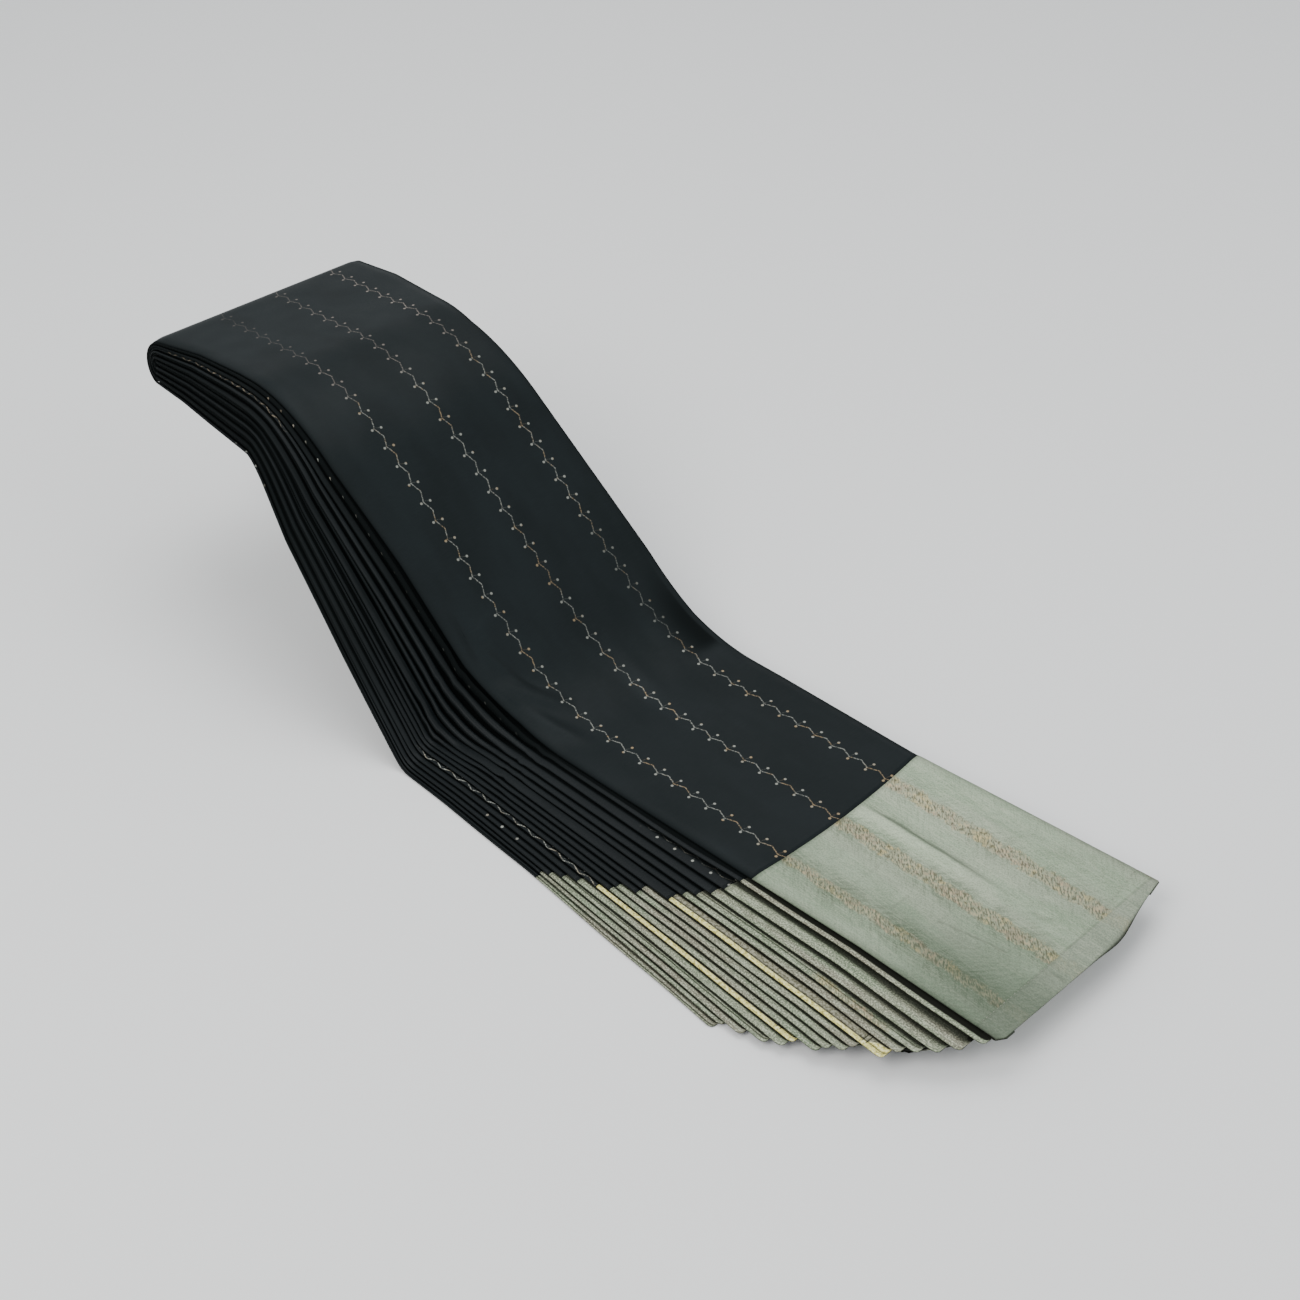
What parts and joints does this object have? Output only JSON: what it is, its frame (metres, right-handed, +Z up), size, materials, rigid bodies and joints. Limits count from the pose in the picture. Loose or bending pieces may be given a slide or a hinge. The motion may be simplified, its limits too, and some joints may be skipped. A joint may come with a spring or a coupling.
{
  "type": "folded silk sari",
  "caption": "Silk sari in lengthwise pleats, laid out for show: border end flat, middle sloping up to a level far end, fold edges fanned along one side.",
  "frame": {"origin": "centre of the bounding box's footprint, on the plane of the flat underside", "axes": "+X along the pleats towards the hemmed border end, +Y across them away from the fanned fold edges, +Z up"},
  "size_m": [0.9597, 0.3197, 0.2344],
  "materials": {
    "field_cloth": "satin",
    "border_cloth": "satin",
    "cream_cloth": "satin"
  },
  "bodies": {
    "root": {"stack_top": "field_cloth", "stack_slope": "field_cloth", "stack_flat": "field_cloth", "stack_border": "border_cloth", "pleat_01_field": "field_cloth", "pleat_01_border": "border_cloth", "pleat_02_field": "field_cloth", "pleat_02_border": "border_cloth", "pleat_03_field": "field_cloth", "pleat_03_border": "border_cloth", "pleat_04_field": "field_cloth", "pleat_04_border": "border_cloth", "pleat_05_field": "field_cloth", "pleat_05_border": "border_cloth", "pleat_06_field": "field_cloth", "pleat_06_border": "cream_cloth", "pleat_07_field": "field_cloth", "pleat_07_border": "border_cloth", "pleat_08_field": "field_cloth", "pleat_08_border": "border_cloth", "pleat_09_field": "field_cloth", "pleat_09_border": "border_cloth", "pleat_10_field": "field_cloth", "pleat_10_border": "border_cloth", "pleat_11_field": "field_cloth", "pleat_11_border": "cream_cloth", "pleat_12_field": "field_cloth", "pleat_12_border": "border_cloth", "pleat_13_field": "field_cloth", "pleat_13_border": "border_cloth", "pleat_14_field": "field_cloth", "pleat_14_border": "border_cloth", "pleat_15_field": "field_cloth", "pleat_15_border": "border_cloth", "pleat_16_field": "field_cloth", "pleat_16_border": "border_cloth", "panel_field": "field_cloth", "panel_border": "border_cloth"}
  },
  "joints": []
}
